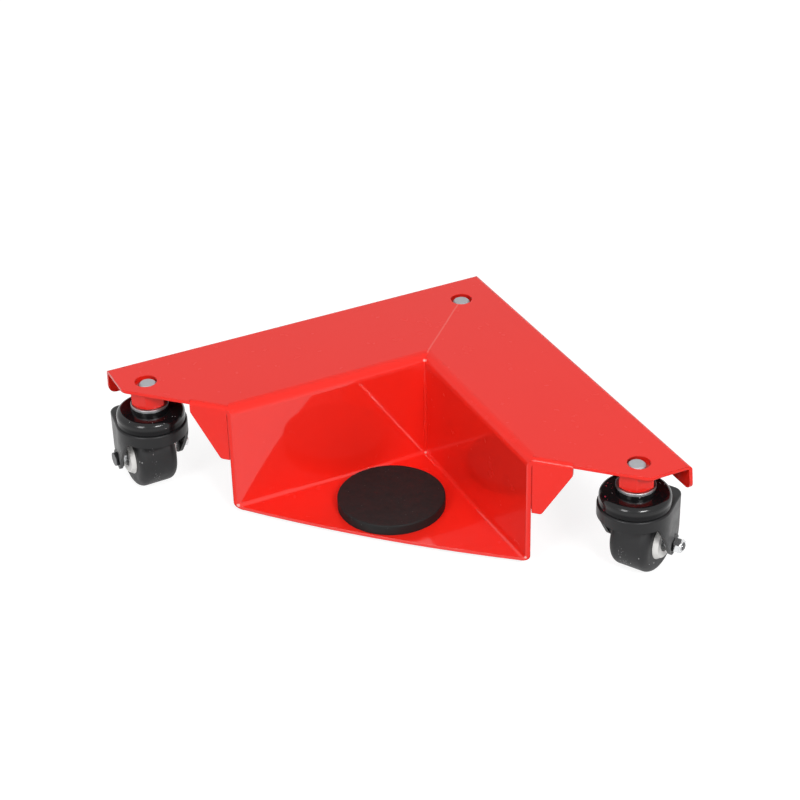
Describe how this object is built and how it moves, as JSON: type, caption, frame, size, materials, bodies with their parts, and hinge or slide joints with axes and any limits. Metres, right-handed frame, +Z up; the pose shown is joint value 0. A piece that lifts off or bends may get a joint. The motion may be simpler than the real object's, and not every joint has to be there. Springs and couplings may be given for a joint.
{
  "type": "platform dolly",
  "caption": "Low triangular mover dolly: folded steel platform with two wings around a sunk pocket, a rubber pad on its floor, and swivel casters under the corners.",
  "frame": {"origin": "on the floor, below the middle of the bounding box", "axes": "+X along the open front edge, +Y from the front edge to the apex, +Z up"},
  "size_m": [0.44, 0.2542, 0.093],
  "materials": {
    "red_paint": "gloss",
    "pad_rubber": "matte",
    "zinc": "bright",
    "black_gloss": "gloss",
    "black_satin": "satin",
    "dark_bolt": "satin",
    "bearing_steel": "bright",
    "light_plastic": "satin",
    "tyre_rubber": "matte"
  },
  "bodies": {
    "base": {"platform": "red_paint", "rubber_pad": "pad_rubber", "weld_nut_left": "red_paint", "weld_nut_right": "red_paint", "weld_nut_rear": "red_paint", "stem_left": "zinc", "stem_right": "zinc", "stem_rear": "zinc", "washer_left": "zinc", "washer_right": "zinc", "washer_rear": "zinc", "cap_left": "black_gloss", "cap_right": "black_gloss", "cap_rear": "black_gloss", "lower_race_left": "bearing_steel", "lower_race_right": "bearing_steel", "lower_race_rear": "bearing_steel"},
    "swivel_left": {"fork_left": "black_satin", "upper_balls_left": "bearing_steel", "lower_balls_left": "bearing_steel", "axle_sleeve_left": "bearing_steel", "axle_bolt_left": "dark_bolt", "axle_nut_left": "zinc"},
    "wheel_left": {"hub_left": "light_plastic", "tyre_left": "tyre_rubber", "bushes_left": "bearing_steel"},
    "swivel_right": {"fork_right": "black_satin", "upper_balls_right": "bearing_steel", "lower_balls_right": "bearing_steel", "axle_sleeve_right": "bearing_steel", "axle_bolt_right": "dark_bolt", "axle_nut_right": "zinc"},
    "wheel_right": {"hub_right": "light_plastic", "tyre_right": "tyre_rubber", "bushes_right": "bearing_steel"},
    "swivel_rear": {"fork_rear": "black_satin", "upper_balls_rear": "bearing_steel", "lower_balls_rear": "bearing_steel", "axle_sleeve_rear": "bearing_steel", "axle_bolt_rear": "dark_bolt", "axle_nut_rear": "zinc"},
    "wheel_rear": {"hub_rear": "light_plastic", "tyre_rear": "tyre_rubber", "bushes_rear": "bearing_steel"}
  },
  "joints": [
    {"name": "swivel_left_turn", "type": "hinge", "parent": "base", "child": "swivel_left", "pos_m": [-0.18245, -0.10123, 0.06], "axis": [0, 0, 1], "continuous": true},
    {"name": "wheel_left_roll", "type": "hinge", "parent": "swivel_left", "child": "wheel_left", "pos_m": [-0.19305, -0.09134, 0.0255], "axis": [-0.682, -0.7314, 0], "continuous": true},
    {"name": "swivel_right_turn", "type": "hinge", "parent": "base", "child": "swivel_right", "pos_m": [0.18245, -0.10123, 0.06], "axis": [0, 0, 1], "continuous": true},
    {"name": "wheel_right_roll", "type": "hinge", "parent": "swivel_right", "child": "wheel_right", "pos_m": [0.1862, -0.08722, 0.0255], "axis": [-0.9659, 0.2588, 0], "continuous": true},
    {"name": "swivel_rear_turn", "type": "hinge", "parent": "base", "child": "swivel_rear", "pos_m": [0, 0.08262, 0.06], "axis": [0, 0, 1], "continuous": true},
    {"name": "wheel_rear_roll", "type": "hinge", "parent": "swivel_rear", "child": "wheel_rear", "pos_m": [-0.00932, 0.07151, 0.0255], "axis": [0.766, -0.6428, 0], "continuous": true}
  ]
}
